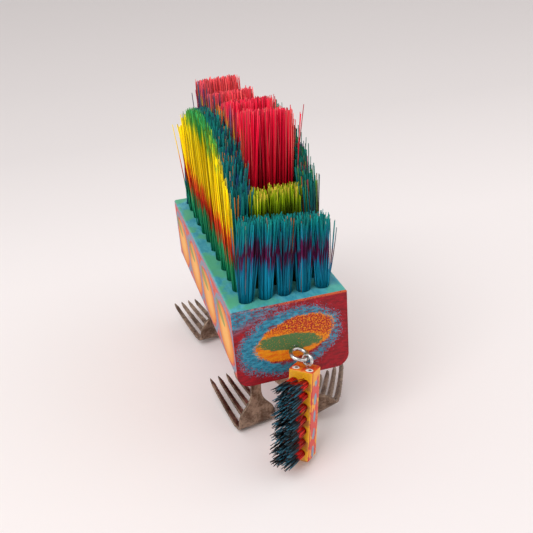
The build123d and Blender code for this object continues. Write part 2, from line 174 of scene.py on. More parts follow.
# ---- materials
class Paint:
    """One material. Its methods return sockets, so a colour is written as an expression."""

    def __init__(self, name, roughness=0.5, metallic=0.0):
        self.material = bpy.data.materials.new(name)
        self.material.use_nodes = True
        self.tree = self.material.node_tree
        self.shader = self.tree.nodes["Principled BSDF"]
        self.shader.inputs["Roughness"].default_value = roughness
        self.shader.inputs["Metallic"].default_value = metallic

    def feed(self, socket, value):
        if isinstance(value, bpy.types.NodeSocket):
            self.tree.links.new(value, socket)
        elif isinstance(value, tuple) and len(value) == 3 and socket.type == "RGBA":
            socket.default_value = (*value, 1.0)
        else:
            socket.default_value = value

    def node(self, kind, settings=(), inputs=()):
        made = self.tree.nodes.new(kind)
        for key, value in dict(settings).items():
            setattr(made, key, value)
        for key, value in dict(inputs).items():
            self.feed(made.inputs[key], value)
        return made

    def math(self, operation, *values):
        return self.node("ShaderNodeMath", {"operation": operation}, enumerate(values)).outputs[0]

    def add(self, *values):
        total = values[0]
        for value in values[1:]:
            total = self.math("ADD", total, value)
        return total

    def times(self, a, b):
        return self.math("MULTIPLY", a, b)

    def step(self, value, low, high):
        """0 below low, 1 above high, smooth between; low above high turns it round."""
        made = self.node("ShaderNodeMapRange", {"interpolation_type": "SMOOTHSTEP"}, {
            "Value": value, "From Min": min(low, high), "From Max": max(low, high)})
        if low > high:
            made.inputs["To Min"].default_value = 1.0
            made.inputs["To Max"].default_value = 0.0
        return made.outputs[0]

    def band(self, value, low, high, soft):
        """1 between low and high, 0 outside."""
        return self.times(
            self.step(value, low - soft, low + soft), self.step(value, high + soft, high - soft))

    def mix(self, factor, a, b):
        made = self.node("ShaderNodeMix", {"data_type": "RGBA"})
        self.feed(made.inputs[0], factor)
        self.feed(made.inputs[6], a)
        self.feed(made.inputs[7], b)
        return made.outputs[2]

    def ramp(self, factor, stops):
        made = self.node("ShaderNodeValToRGB", (), {"Fac": factor})
        elements = made.color_ramp.elements
        while len(elements) < len(stops):
            elements.new(0.5)
        for element, (position, colour) in zip(elements, stops):
            element.position = position
            element.color = (*colour, 1.0)
        return made.outputs["Color"]

    def attribute(self, name):
        return self.node("ShaderNodeAttribute", {"attribute_name": name}).outputs["Color"]

    def split(self, vector):
        return self.node("ShaderNodeSeparateXYZ", (), {0: vector}).outputs

    def local(self, origin, axes=None):
        """Coordinates in millimetres from origin, along the world axes or along axes."""
        place = self.node("ShaderNodeTexCoord").outputs["Object"]
        shifted = self.node("ShaderNodeVectorMath", {"operation": "SUBTRACT"}, {
            0: place, 1: tuple(origin)}).outputs[0]
        scaled = self.node("ShaderNodeVectorMath", {"operation": "SCALE"}, {
            0: shifted, "Scale": 1 / MILLIMETRE}).outputs[0]
        if axes is None:
            return scaled, self.split(scaled)
        return scaled, [self.dot(scaled, axis) for axis in axes]

    def dot(self, vector, axis):
        return self.node("ShaderNodeVectorMath", {"operation": "DOT_PRODUCT"}, {
            0: vector, 1: tuple(axis)}).outputs["Value"]

    def normal(self):
        return self.node("ShaderNodeTexCoord").outputs["Normal"]

    def noise(self, vector, scale, detail=3.0, roughness=0.55, stretch=(1, 1, 1)):
        """Noise from about 0 to 1; scale is in waves per millimetre."""
        moved = self.node("ShaderNodeMapping", (), {"Vector": vector, "Scale": stretch}).outputs[0]
        return self.node("ShaderNodeTexNoise", (), {
            "Vector": moved, "Scale": scale, "Detail": detail, "Roughness": roughness}).outputs[0]

    def oval(self, u, v, centre, size, tilt=0.0):
        """1 on the edge of an oval, 0 at its centre."""
        c, s = math.cos(math.radians(tilt)), math.sin(math.radians(tilt))
        du = self.math("SUBTRACT", u, centre[0])
        dv = self.math("SUBTRACT", v, centre[1])
        along = self.add(self.times(du, c / size[0]), self.times(dv, s / size[0]))
        across = self.add(self.times(du, -s / size[1]), self.times(dv, c / size[1]))
        return self.math("SQRT", self.add(self.times(along, along), self.times(across, across)))

    def bump(self, height, strength, distance=0.0002):
        """distance is in metres."""
        made = self.node("ShaderNodeBump", (), {
            "Height": height, "Strength": strength, "Distance": distance})
        self.feed(self.shader.inputs["Normal"], made.outputs[0])

    def finish(self, colour, roughness=None):
        self.feed(self.shader.inputs["Base Color"], colour)
        if roughness is not None:
            self.feed(self.shader.inputs["Roughness"], roughness)
        return self.material


def set_material(piece, material):
    piece.data.materials.clear()
    piece.data.materials.append(material)


CRIMSON = (0.40, 0.006, 0.018)
ORANGE = (0.80, 0.24, 0.01)
CORAL = (0.80, 0.11, 0.05)
BLUE_GREY = (0.16, 0.28, 0.40)


def front_paint(p, place, x, z):
    """Crimson end with a broken turquoise ring, an orange oval and a green leaf."""
    wobble = p.times(p.add(p.noise(place, 0.09, 2), -0.5), 0.26)
    streak = p.noise(place, 0.45, 4, 0.7, (0.5, 1, 1.2))
    stipple = p.noise(place, 1.0, 3, 0.8)
    base = p.mix(p.step(streak, 0.35, 0.7), (0.19, 0.002, 0.008), (0.40, 0.003, 0.013))
    # dry brush: the ring breaks up towards its outer edge and on the right
    ring = p.add(p.oval(x, z, (1, -24.5), (29.5, 20), 12), wobble)
    ring = p.add(ring, p.times(p.add(streak, -0.5), 0.35))
    worn = p.add(p.times(streak, 0.25), p.times(stipple, 0.75), p.times(x, -0.0022))
    dry = p.step(p.add(worn, p.times(p.step(ring, 0.86, 1.12), -0.14)), 0.42, 0.445)
    ring_mask = p.times(p.band(ring, 0.70, 1.14, 0.05), dry)
    corner = p.times(p.step(p.add(z, p.times(x, -0.35)), -5, 3), p.step(worn, 0.50, 0.53))
    ring_mask = p.math("MAXIMUM", ring_mask, corner)
    blue = p.mix(p.step(streak, 0.38, 0.62), (0.008, 0.12, 0.20), (0.035, 0.29, 0.43))
    colour = p.mix(ring_mask, base, blue)
    inner = p.add(p.oval(x, z, (1.5, -23.5), (24.5, 13.2), 14), wobble)
    inner = p.add(inner, p.times(p.add(stipple, -0.5), 0.5))
    orange = p.mix(p.step(streak, 0.35, 0.65), (0.72, 0.13, 0.002), (0.80, 0.30, 0.003))
    upper = p.step(p.add(z, p.times(x, 0.25)), -26, -16)
    speckle = p.times(p.step(p.add(stipple, p.times(upper, 0.10)), 0.56, 0.60), p.add(0.35, upper))
    orange = p.mix(p.times(speckle, 0.85), orange, (0.34, 0.010, 0.006))
    colour = p.mix(p.step(inner, 0.98, 0.92), colour, orange)
    leaf = p.add(p.oval(x, z, (-1, -25.5), (19, 5.4), -6), wobble, p.times(p.add(streak, -0.5), 0.8))
    leaf_mask = p.times(p.step(leaf, 1.04, 0.90), p.step(stipple, 0.36, 0.41))
    colour = p.mix(leaf_mask, colour, (0.07, 0.16, 0.05))
    edge_line = p.times(p.step(z, -1.8, -1.0), p.step(p.add(worn, p.times(x, 0.004)), 0.47, 0.53))
    return p.mix(edge_line, colour, (0.60, 0.10, 0.03))


def side_paint(p, place, y, z):
    """Coral side with long orange ovals, green leaf strokes and blue-grey outlines."""
    wobble = p.times(p.add(p.noise(place, 0.07, 2), -0.5), 0.4)
    streak = p.noise(place, 0.4, 4, 0.65, (1, 0.3, 1))
    stipple = p.noise(place, 1.4, 3, 0.7)
    colour = p.mix(p.step(streak, 0.35, 0.65), CORAL, (0.55, 0.05, 0.05))
    ovals = 4
    pitch = BLOCK_LENGTH / ovals
    middle = -BLOCK_HEIGHT / 2
    for index in range(ovals):
        centre_y = pitch * (index + 0.5)
        oval = p.add(p.oval(y, z, (centre_y, middle), (19.5, 17), 12), wobble)
        outline = p.times(p.band(oval, 1.05, 1.28, 0.05), p.step(stipple, 0.36, 0.46))
        colour = p.mix(outline, colour, BLUE_GREY)
        glow = p.mix(p.step(oval, 0.95, 0.3), ORANGE, (0.95, 0.46, 0.10))
        colour = p.mix(p.step(oval, 0.98, 0.88), colour, glow)
        leaf = p.add(p.oval(y, z, (centre_y + 9, middle + 9), (12, 4), 20), wobble)
        colour = p.mix(p.times(p.step(leaf, 1.0, 0.85), 0.8), colour, (0.20, 0.30, 0.05))
    rim = p.times(p.step(z, -3.5, -1.5), p.step(stipple, 0.4, 0.5))
    return p.mix(rim, colour, BLUE_GREY)


def block_paint():
    p = Paint("painted_block", roughness=0.5)
    p.shader.inputs["Specular IOR Level"].default_value = 0.3
    place, (x, y, z) = p.local(FRONT_TOP)
    _, ny, nz = p.split(p.normal())
    streak = p.noise(place, 0.25, 4, 0.6, (1, 0.4, 1))
    patches = p.noise(place, 0.055, 3, 0.55)
    top = p.mix(p.step(streak, 0.35, 0.65), (0.04, 0.32, 0.44), (0.10, 0.46, 0.54))
    near_left = p.step(x, -18, -30)
    green = p.times(p.step(patches, 0.44, 0.56), p.add(0.45, p.times(near_left, 0.4)))
    top = p.mix(green, top, (0.10, 0.46, 0.22))
    underside = p.mix(p.step(streak, 0.4, 0.6), CRIMSON, (0.15, 0.005, 0.012))
    colour = p.mix(p.step(nz, -0.75, -0.9), side_paint(p, place, y, z), underside)
    ends = p.step(p.math("ABSOLUTE", ny), 0.6, 0.8)
    colour = p.mix(ends, colour, front_paint(p, place, x, z))
    colour = p.mix(p.step(nz, 0.5, 0.75), colour, top)
    # painted shade: the walls of the tuft holes are painted dark teal, standing in for the shade
    # inside them
    inside = p.times(p.band(z, -18, -0.4, 0.2), p.step(p.math("ABSOLUTE", x), 32.0, 31.5))
    inside = p.times(inside, p.band(y, 1.0, BLOCK_LENGTH - 1, 0.3))
    colour = p.mix(inside, colour, (0.02, 0.07, 0.07))
    grain = p.noise(place, 1.1, 5, 0.7, (1, 0.25, 1))
    p.bump(grain, 0.35, 0.0004)
    return p.finish(colour, p.add(0.38, p.times(grain, 0.3)))


def head_paint(plane_origin, axes):
    """Ochre bristle face, red-edged, with yellow, red and grey-blue sides and a red top."""
    p = Paint("painted_head", roughness=0.4)
    place, (x, y, z) = p.local(plane_origin, axes)
    across, _, up = axes
    nx = p.dot(p.normal(), across)
    nz = p.dot(p.normal(), up)
    blotch = p.noise(place, 0.16, 3, 0.6)
    fine = p.noise(place, 0.9, 4, 0.65)
    ochre = p.mix(p.step(fine, 0.35, 0.7), (0.80, 0.40, 0.003), (0.66, 0.28, 0.006))
    rubbed = p.times(p.step(blotch, 0.45, 0.62), p.step(z, -4, -7))
    face = p.mix(p.times(rubbed, 0.75), ochre, (0.30, 0.08, 0.03))
    side = p.mix(p.step(fine, 0.4, 0.7), (0.95, 0.42, 0.006), (0.90, 0.30, 0.01))
    wave = p.noise(place, 0.20, 3, 0.6, (1, 1, 0.6))
    band = p.step(p.add(wave, p.times(p.step(p.math("ABSOLUTE", y), 1.5, 5.0), -0.12)), 0.40, 0.44)
    side = p.mix(p.times(band, p.step(z, -3, -6)), side, (0.72, 0.05, 0.035))
    spot_row = p.math("PINGPONG", p.add(z, 1.0), 5.5)
    spot = p.add(p.oval(y, spot_row, (0.0, 5.5), (1.7, 3.4)), p.times(p.add(wave, -0.5), 1.6))
    spot = p.times(p.step(p.add(spot, fine), 1.52, 1.38), p.step(z, -6, -7))
    side = p.mix(spot, side, (0.20, 0.32, 0.44))
    top = p.mix(p.step(blotch, 0.42, 0.55), (0.88, 0.22, 0.01), (0.70, 0.05, 0.01))
    colour = p.mix(p.step(p.math("ABSOLUTE", nx), 0.5, 0.75), face, side)
    corner = p.times(p.step(x, 6.0, 6.6), p.band(y, -5.4, -4.7, 0.25))
    corner = p.times(corner, p.step(fine, 0.30, 0.42))
    colour = p.mix(corner, colour, (0.50, 0.010, 0.012))
    colour = p.mix(p.step(nz, 0.4, 0.7), colour, top)
    # painted shade: the insides of the tuft holes are painted near black, standing in for the shade
    # in them
    hole_shade = p.times(p.step(y, -5.92, -5.7), p.step(p.math("ABSOLUTE", x), 5.4, 5.2))
    hole_shade = p.times(hole_shade, p.times(p.band(z, 2 - HEAD_LENGTH, -3.5, 0.3), p.step(y, 3.0, 2.0)))
    colour = p.mix(hole_shade, colour, (0.01, 0.008, 0.008))
    p.bump(fine, 0.3, 0.0003)
    return p.finish(colour, p.add(0.3, p.times(fine, 0.25)))


def metal(name, dark, light, roughness, scale, bump):
    """Bare or tarnished metal: light worn patches over a darker film, with fine scratches."""
    p = Paint(name, metallic=1.0)
    place, _ = p.local((0, 0, 0))
    film = p.noise(place, scale, 4, 0.65)
    pits = p.noise(place, scale * 7, 3, 0.7)
    colour = p.mix(p.step(p.add(p.times(film, 0.7), p.times(pits, 0.3)), 0.38, 0.62), dark, light)
    p.bump(pits, bump, 0.0002)
    return p.finish(colour, p.add(roughness - 0.12, p.times(film, 0.3)))


def strand_inputs(p):
    """Height above the wood in tenths of a metre, a chance per strand, and its tip's x."""
    return p.split(p.attribute("strand"))


def shuffled(p, chance, factor):
    """Another chance from 0 to 1, made from the same one."""
    return p.math("FRACT", p.times(chance, factor))


def vary(p, colour, chance, amount):
    """Makes some strands darker and some lighter."""
    dim = p.times(p.add(chance, -0.5), amount)
    return p.node("ShaderNodeHueSaturation", (), {
        "Color": colour, "Value": p.add(1.0, dim)}).outputs[0]


def bristle(name, make_colour, roughness=0.5, specular=0.12, unevenness=1.0):
    """A dyed fibre. unevenness is how much the heights of its colour bands wander."""
    p = Paint(name, roughness=roughness)
    height, chance, side = strand_inputs(p)
    place, _ = p.local(FRONT_TOP)
    clumps = p.noise(place, 0.12, 2, 0.5)
    jitter = p.add(p.times(p.add(chance, -0.5), 0.11), p.times(p.add(clumps, -0.5), 0.14))
    colour = make_colour(p, p.add(height, p.times(jitter, unevenness)), chance, side)
    colour = vary(p, colour, shuffled(p, chance, 37.7), 1.1)
    p.shader.inputs["Specular IOR Level"].default_value = specular
    return p.finish(colour)


def blue_colour(p, height, chance, side):
    # the purple band is lower on the right, like the trimmed tips
    level = p.add(height, p.times(side, 0.0014))
    base = p.ramp(level, [
        (0.00, (0.002, 0.17, 0.27)), (0.15, (0.003, 0.23, 0.37)), (0.20, (0.02, 0.11, 0.26)),
        (0.225, (0.11, 0.005, 0.045)), (0.29, (0.08, 0.007, 0.06)),
        (0.33, (0.004, 0.20, 0.32)), (0.40, (0.003, 0.24, 0.26)), (0.48, (0.003, 0.22, 0.19))])
    return p.mix(p.step(chance, 0.97, 0.975), base, (0.42, 0.14, 0.05))


def lime_colour(p, height, chance, side):
    return p.ramp(height, [
        (0.20, (0.02, 0.03, 0.001)), (0.42, (0.07, 0.11, 0.001)),
        (0.50, (0.17, 0.28, 0.001)), (0.55, (0.34, 0.46, 0.002)), (0.60, (0.66, 0.46, 0.05))])


def red_colour(p, height, chance, side):
    base = p.ramp(height, [
        (0.30, (0.30, 0.002, 0.008)), (0.58, (0.56, 0.003, 0.018)),
        (0.74, (0.68, 0.003, 0.028)), (0.88, (0.80, 0.005, 0.045)), (0.98, (0.84, 0.03, 0.075))])
    pale = p.times(p.step(chance, 0.84, 0.87), p.step(height, 0.6, 0.8))
    base = p.mix(p.times(pale, 0.6), base, (0.90, 0.20, 0.16))
    # the rear teeth are a paler, dustier red
    _, (_, back, _) = p.local(FRONT_TOP)
    dusty = p.times(p.step(back, 70, 110), p.step(height, 0.72, 0.86))
    base = p.mix(p.times(dusty, 0.62), base, (0.86, 0.13, 0.13))
    # the left edge carries flecks of the neighbouring blue and yellow
    fleck = p.times(p.step(side, -6.5, -9.5), p.step(height, 0.93, 0.86))
    flecks = p.ramp(chance, [
        (0.0, (0.02, 0.12, 0.20)), (0.35, (0.12, 0.02, 0.10)),
        (0.6, (0.60, 0.01, 0.03)), (0.85, (0.75, 0.45, 0.03))])
    return p.mix(fleck, base, flecks)


def left_flank_colour(p, height, chance, side):
    outer = p.ramp(height, [
        (0.00, (0.004, 0.20, 0.11)), (0.17, (0.014, 0.29, 0.10)), (0.225, (0.34, 0.06, 0.006)),
        (0.28, (0.68, 0.010, 0.010)), (0.35, (0.82, 0.20, 0.003)), (0.41, (0.97, 0.66, 0.001)),
        (0.69, (0.96, 0.74, 0.002)), (0.75, (0.14, 0.44, 0.03)), (0.84, (0.03, 0.36, 0.09))])
    inner = p.ramp(height, [
        (0.0, (0.002, 0.16, 0.12)), (0.5, (0.003, 0.20, 0.19)), (0.70, (0.004, 0.17, 0.18)),
        (0.85, (0.004, 0.24, 0.20))])
    inner = p.mix(p.step(chance, 0.93, 0.94), inner, (0.42, 0.15, 0.03))
    inner = p.mix(p.step(shuffled(p, chance, 5.3), 0.80, 0.84), inner, (0.01, 0.05, 0.14))
    _, (_, back, _) = p.local(FRONT_TOP)
    leftness = p.add(side, p.times(p.step(back, 70, 20), 2.6))
    return p.mix(p.step(leftness, -19.2, -20.6), inner, outer)


def right_flank_colour(p, height, chance, side):
    base = p.ramp(height, [
        (0.00, (0.002, 0.12, 0.11)), (0.25, (0.002, 0.15, 0.16)), (0.32, (0.10, 0.01, 0.03)),
        (0.42, (0.003, 0.12, 0.13)), (0.80, (0.003, 0.17, 0.11))])
    flecks = p.ramp(shuffled(p, chance, 9.0), [
        (0.0, (0.02, 0.03, 0.14)), (0.5, (0.30, 0.02, 0.02)), (0.9, (0.04, 0.34, 0.05))])
    return p.mix(p.step(chance, 0.82, 0.84), base, flecks)


def head_bristle_colour(p, height, chance, side):
    base = p.ramp(height, [
        (0.00, (0.36, 0.003, 0.003)), (0.060, (0.70, 0.008, 0.004)), (0.074, (0.003, 0.006, 0.010)),
        (0.10, (0.008, 0.055, 0.09)), (0.20, (0.02, 0.15, 0.22))])
    dark = p.times(p.step(shuffled(p, chance, 11.3), 0.42, 0.48), p.step(height, 0.062, 0.08))
    return p.mix(dark, base, (0.001, 0.002, 0.003))


# ---- strands
STRAND_SIDES = 4
STRAND_RINGS = 6
# the strand attribute holds heights in tenths of a metre
STRAND_HEIGHT_UNIT = 100
# each strand's strip of the texture: bands of strips, and the margins inside a strip
ATLAS_BANDS = 4
STRIP_MARGIN = 0.15
STRIP_END_MARGIN = 0.02
# how much thinner a strand is at its tip
STRAND_TAPER = 0.25
# angles in radians
GOLDEN_ANGLE = 2.39996
FULL_TURN = 6.28
ROOT_SHAKE = 0.12


def strand_verts(roots, tips, bends, radii):
    """Tapered tubes along gently bent lines, all strands at once: (strand, ring, side, xyz)."""
    t = np.linspace(0.0, 1.0, STRAND_RINGS)[None, :, None]
    line = roots[:, None] + (tips - roots)[:, None] * t + bends[:, None] * t ** 2
    direction = tips + bends - roots
    direction /= np.linalg.norm(direction, axis=1, keepdims=True)
    guide = np.where(np.abs(direction[:, :1]) > 0.7, [[0.0, 1.0, 0.0]], [[1.0, 0.0, 0.0]])
    across = np.cross(direction, guide)
    across /= np.linalg.norm(across, axis=1, keepdims=True)
    other = np.cross(direction, across)
    turn = np.arange(STRAND_SIDES) / STRAND_SIDES * 2 * math.pi
    taper = radii[:, None] * (1.0 - STRAND_TAPER * t[:, :, 0] ** 2)
    circle = (
        np.cos(turn)[None, None, :, None] * across[:, None, None]
        + np.sin(turn)[None, None, :, None] * other[:, None, None])
    return line[:, :, None] + circle * taper[:, :, None, None]


def strand_faces(count):
    """Side quads and two end caps of each tube, with the tube's points numbered in order."""
    ring, side = np.meshgrid(np.arange(STRAND_RINGS - 1), np.arange(STRAND_SIDES), indexing="ij")
    after = (side + 1) % STRAND_SIDES
    quads = np.stack([
        ring * STRAND_SIDES + side, ring * STRAND_SIDES + after,
        (ring + 1) * STRAND_SIDES + after, (ring + 1) * STRAND_SIDES + side], -1).reshape(-1, 4)
    cap = np.arange(STRAND_SIDES)
    top = (STRAND_RINGS - 1) * STRAND_SIDES + cap
    one = np.concatenate([quads, cap[None, ::-1], top[None]])
    stride = STRAND_RINGS * STRAND_SIDES
    return (one[None] + (np.arange(count) * stride)[:, None, None]).reshape(-1, 4)


def strand_atlas(mesh, count):
    """Gives each strand its own strip of the texture, all its sides on the same strip."""
    layer = mesh.uv_layers.new(name="OFBake")
    per_band = math.ceil(count / ATLAS_BANDS)
    width, height = 1.0 / per_band, 1.0 / ATLAS_BANDS
    ring = np.repeat(np.arange(STRAND_RINGS - 1), STRAND_SIDES)
    strip = np.repeat(np.arange(count)[:, None], len(ring), axis=1)
    column, row = strip % per_band, strip // per_band
    left = (column + STRIP_MARGIN) * width
    right = (column + 1 - STRIP_MARGIN) * width
    length = (1 - 2 * STRIP_END_MARGIN) / (STRAND_RINGS - 1)
    low = (row + STRIP_END_MARGIN + length * ring) * height
    high = (row + STRIP_END_MARGIN + length * (ring + 1)) * height
    quads = np.stack([
        np.stack([left, low], -1), np.stack([right, low], -1),
        np.stack([right, high], -1), np.stack([left, high], -1)], 2)
    caps = []
    for end in (0, -1):
        middle = (quads[:, end, 0] + quads[:, end, 2]) / 2
        caps.append(np.repeat(middle[:, None, None], 4, axis=2))
    flat = np.concatenate([quads, *caps], axis=1).reshape(-1)
    layer.data.foreach_set("uv", flat.astype(np.float32))


def strands(name, roots, tips, bends, radii, heights, chances, sides, material):
    """Builds one piece made of many strands. heights are (root, tip) pairs in millimetres."""
    count = len(roots)
    verts = strand_verts(roots, tips, bends, radii) * MILLIMETRE
    mesh = bpy.data.meshes.new(name)
    faces = strand_faces(count)
    mesh.from_pydata(verts.reshape(-1, 3), [], faces)
    strand_atlas(mesh, count)
    t = np.linspace(0.0, 1.0, STRAND_RINGS)[None, :, None]
    values = np.zeros((count, STRAND_RINGS, STRAND_SIDES, 4), dtype=np.float32)
    low, high = heights[:, :1, None], heights[:, 1:, None]
    values[..., 0] = (low + (high - low) * t) / STRAND_HEIGHT_UNIT
    values[..., 1] = chances[:, None, None]
    values[..., 2] = sides[:, None, None]
    values[..., 3] = 1.0
    layer = mesh.color_attributes.new("strand", "FLOAT_COLOR", "POINT")
    layer.data.foreach_set("color", values.reshape(-1))
    mesh.shade_smooth()
    mesh.materials.append(material)
    piece = bpy.data.objects.new(name, mesh)
    bpy.context.collection.objects.link(piece)
    return piece


def sunflower(count, radius):
    """Evenly packed points in a circle, slightly shaken."""
    index = np.arange(count)
    distance = radius * np.sqrt((index + 0.5) / count)
    angle = index * GOLDEN_ANGLE + rng.uniform(0, FULL_TURN)
    points = np.stack([distance * np.cos(angle), distance * np.sin(angle)], 1)
    return points + rng.normal(0, ROOT_SHAKE, points.shape)


# ---- body bristles
def trimmed_height(row, column, x, y):
    """How high the scissors left the bristles above the block, at x, y."""
    last = TUFT_ROWS - 1
    if row in (0, last):
        return END_ROW_HEIGHT - END_ROW_SLOPE * x
    if column in (0, 4):
        return np.maximum(DOME_TOP - DOME_CURVE * (y - DOME_MIDDLE) ** 2, FLANK_LOWEST)
    if row in (1, last - 1):
        return np.full_like(x, SECOND_ROW_HEIGHT)
    start, height, leftward = CREST_TEETH[(row - 2) // 2]
    return height - TOOTH_SLOPE * (y - start) - leftward * x


def tip_limits(row, column):
    """Left and right limits of the tips of one tuft."""
    if row in (0, TUFT_ROWS - 1):
        left, right = END_ROW_SPAN
        fifth = (right - left) / 5
        return left + fifth * column, left + fifth * (column + 1)
    second = row in (1, TUFT_ROWS - 2)
    left, right = SECOND_ROW_SPAN if second else CREST_SPANS[(row - 2) // 2]
    if column == 0:
        return LEFT_OUTER, left
    if column == 4:
        return right, RIGHT_OUTER
    third = (right - left) / 3
    return left + third * (column - 1), left + third * column


def tuft_strands(row, column):
    """Roots, tips, bends, heights of both ends, and place across, of one body tuft."""
    count = STRANDS_PER_TUFT
    centre = np.array([TUFT_COLUMNS[column], FIRST_ROW + ROW_PITCH * row])
    offset = sunflower(count, TUFT_RADIUS)
    low, high = tip_limits(row, column)
    tip_xy = np.column_stack([
        (low + high) / 2 + offset[:, 0] / TUFT_RADIUS * (high - low) / 2 * TIP_OVERLAP,
        centre[1] + offset[:, 1] / TUFT_RADIUS * TIP_HALF_DEPTH])
    tip_xy += rng.normal(0, TIP_SCATTER, (count, 2))
    height = trimmed_height(row, column, tip_xy[:, 0], tip_xy[:, 1])
    height = height + rng.normal(0, TRIM_SCATTER, count) - rng.exponential(TRIM_SHORTFALL, count)
    loose = rng.random(count) < LOOSE_SHARE
    tip_xy += loose[:, None] * rng.normal(0, LOOSE_SCATTER, (count, 2))
    height += loose * rng.uniform(*LOOSE_RISE, count)
    strays, lean_x, lean_y = STRAYS.get((row, column), (0, 0, 0))
    tip_xy[count - strays:] += np.array([lean_x, lean_y]) * rng.uniform(*STRAY_REACH, (strays, 1))
    height[count - strays:] -= rng.uniform(0, STRAY_SHORTER, strays)
    height = np.minimum(height, TALLEST)
    root = np.column_stack([centre + offset, np.full(count, -TUFT_ROOT_DEPTH)])
    tip = np.column_stack([tip_xy, height])
    bend = np.column_stack([rng.normal(0, STRAND_BEND, (count, 2)), np.zeros(count)])
    heights = np.column_stack([np.full(count, -TUFT_ROOT_DEPTH), height])
    return root, tip - bend, bend, heights


def tuft_finish(row, group):
    """The bristle material of one group of tufts, and a group name that nothing uses."""
    last = TUFT_ROWS - 1
    if row in (0, last):
        return "blue_bristle", "blue_bristle"
    if group in ("left", "right"):
        return f"{group}_flank_bristle", "flank_bristle"
    if row in (1, last - 1):
        return "lime_bristle", "lime_bristle"
    return "red_bristle", "red_bristle"


def make_body_bristles():
    finishes = {
        name: bristle(name, colour) for name, colour in (
            ("blue_bristle", blue_colour), ("lime_bristle", lime_colour),
            ("red_bristle", red_colour), ("left_flank_bristle", left_flank_colour),
            ("right_flank_bristle", right_flank_colour))}
    base = np.array(FRONT_TOP) / MILLIMETRE
    for row in range(TUFT_ROWS):
        for group, columns in (("left", (0,)), ("crest", (1, 2, 3)), ("right", (4,))):
            parts = [tuft_strands(row, column) for column in columns]
            root, tip, bend, heights = (np.concatenate(items) for items in zip(*parts))
            sides = (tip + bend)[:, 0]
            count = len(root)
            finish, slot = tuft_finish(row, group)
            radii = STRAND_RADIUS * rng.uniform(*STRAND_THICKNESS, count)
            name = f"bristles_row_{row + 1:02d}_{group}"
            piece = strands(name, root + base, tip + base, bend, radii, heights,
                            rng.random(count), sides, finishes[finish])
            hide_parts(f"tuft_row_{row + 1:02d}_{group}")
            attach(piece, "root")


# ---- head
def head_frame():
    """Centre of the head's top and its axes: across, to the back, up."""
    yaw, tilt, lean = (math.radians(a) for a in (HEAD_YAW, HEAD_TILT, HEAD_LEAN))
    across = Vector((math.cos(yaw), math.sin(yaw), 0))
    outward = Vector((math.sin(yaw), -math.cos(yaw), 0))
    up = Vector((0, 0, 1))
    tilted_up = up * math.cos(tilt) - outward * math.sin(tilt)
    face = outward * math.cos(tilt) + up * math.sin(tilt)
    head_up = tilted_up * math.cos(lean) + across * math.sin(lean)
    head_across = across * math.cos(lean) - tilted_up * math.sin(lean)
    ring = Vector(JOINTS["head_turn"]["pos_m"])
    origin = ring - (head_across * HEAD_EYE_SIDE + head_up * HEAD_EYE_DROP) * MILLIMETRE
    return origin, (head_across, face * -1, head_up)


def head_point(x, y, z):
    """A place on the head, from the centre of its top."""
    origin, (across, back, up) = head_frame()
    return origin + (across * x + back * y + up * z) * MILLIMETRE


def make_head_bristles():
    material = bristle(
        "head_bristle", head_bristle_colour, roughness=0.3, specular=0.4, unevenness=0.15)
    origin, axes = head_frame()
    turn = np.array([list(axis) for axis in axes])
    base = np.array(origin) / MILLIMETRE
    drop = math.tan(math.radians(HEAD_TUFT_DROOP))
    sweep = math.tan(math.radians(HEAD_TUFT_SWEEP))
    for row in range(HEAD_TUFT_ROWS):
        for side, x in (("left", -HEAD_TUFT_COLUMN), ("right", HEAD_TUFT_COLUMN)):
            count = HEAD_STRANDS
            offset = sunflower(count, HEAD_TUFT_RADIUS)
            mouth = np.array([x, -HEAD_DEPTH / 2, -HEAD_TUFT_FIRST - HEAD_TUFT_PITCH * row])
            length = HEAD_TUFT_LENGTH + rng.normal(0, HEAD_TIP_SCATTER, count)
            length -= rng.exponential(HEAD_TRIM_SHORTFALL, count)
            inside = np.full(count, HEAD_TUFT_ROOT_DEPTH)
            root = mouth + np.column_stack([offset[:, 0], inside, offset[:, 1]])
            splay = HEAD_TUFT_SPLAY + rng.normal(0, HEAD_SPLAY_SCATTER, count)
            tip_x = offset[:, 0] * splay - sweep * length + rng.normal(0, HEAD_TIP_SCATTER, count)
            tip_z = offset[:, 1] * splay - drop * length + rng.normal(0, HEAD_TIP_SCATTER, count)
            tip = mouth + np.column_stack([tip_x, -length, tip_z])
            bend = rng.normal(0, 1.0, (count, 3)) * HEAD_STRAND_BEND
            heights = np.column_stack([-inside, length])
            radii = HEAD_STRAND_RADIUS * rng.uniform(*HEAD_STRAND_THICKNESS, count)
            piece = strands(f"head_bristles_{row + 1}_{side}", root @ turn + base,
                            (tip - bend) @ turn + base, bend @ turn, radii, heights,
                            rng.random(count), offset[:, 0], material)
            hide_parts(f"head_tuft_{row + 1}_{side}")
            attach(piece, "head")


def dot_paint(name, colour, roughness):
    """Thick paint of one colour, a little uneven."""
    p = Paint(name, roughness=roughness)
    place, _ = p.local((0, 0, 0))
    fleck = p.noise(place, 1.2, 3)
    darker = tuple(c * 0.8 for c in colour)
    return p.finish(p.mix(p.step(fleck, 0.4, 0.7), colour, darker))


DOT_RINGS = 6
DOT_SIDES = 40
DOT_EDGE_SINK = 0.02


